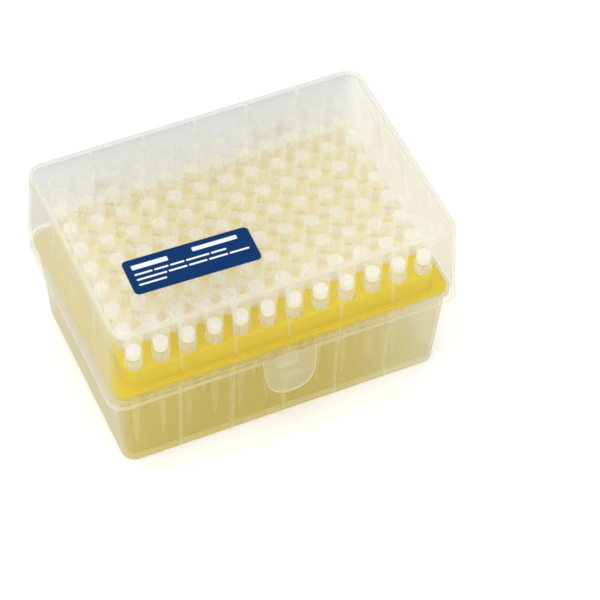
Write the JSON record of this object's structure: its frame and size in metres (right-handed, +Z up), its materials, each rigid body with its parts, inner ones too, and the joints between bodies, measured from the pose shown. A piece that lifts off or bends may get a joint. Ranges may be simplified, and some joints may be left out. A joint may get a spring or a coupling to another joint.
{
  "type": "box of pipette tips",
  "caption": "Clear hinged plastic box whose yellow rack holds a grid of long filter tips, with a thumb tab at the front.",
  "frame": {"origin": "middle of the base's underside", "axes": "+X along the long side, -Y towards the front with the thumb tab, +Z up"},
  "size_m": [0.1198, 0.0872, 0.0671],
  "materials": {
    "base": "natural polypropylene, slightly hazy",
    "lid": "natural polypropylene, clear walls and frosted roof",
    "rack": "smooth opaque yellow",
    "tip": "natural polypropylene, clear",
    "filter": "porous white, matt",
    "label": "printed sticker, semi-matt"
  },
  "bodies": {
    "box": {"base": "base", "rack": "rack", "tip_a01": "tip", "tip_a02": "tip", "tip_a03": "tip", "tip_a04": "tip", "tip_a05": "tip", "tip_a06": "tip", "tip_a07": "tip", "tip_a08": "tip", "tip_a09": "tip", "tip_a10": "tip", "tip_a11": "tip", "tip_a12": "tip", "tip_h01": "tip", "tip_h02": "tip", "tip_h03": "tip", "tip_h04": "tip", "tip_h05": "tip", "tip_h06": "tip", "tip_h07": "tip", "tip_h08": "tip", "tip_h09": "tip", "tip_h10": "tip", "tip_h11": "tip", "tip_h12": "tip", "filter_a01": "filter", "filter_a02": "filter", "filter_a03": "filter", "filter_a04": "filter", "filter_a05": "filter", "filter_a06": "filter", "filter_a07": "filter", "filter_a08": "filter", "filter_a09": "filter", "filter_a10": "filter", "filter_a11": "filter", "filter_a12": "filter", "filter_h01": "filter", "filter_h02": "filter", "filter_h03": "filter", "filter_h04": "filter", "filter_h05": "filter", "filter_h06": "filter", "filter_h07": "filter", "filter_h08": "filter", "filter_h09": "filter", "filter_h10": "filter", "filter_h11": "filter", "filter_h12": "filter"},
    "lid": {"lid": "lid", "label": "label"}
  },
  "joints": [
    {"name": "lid_hinge", "type": "hinge", "parent": "box", "child": "lid", "pos_m": [0, 0.04315, 0.041], "axis": [-1, 0, 0], "range_deg": [0, 105]}
  ]
}
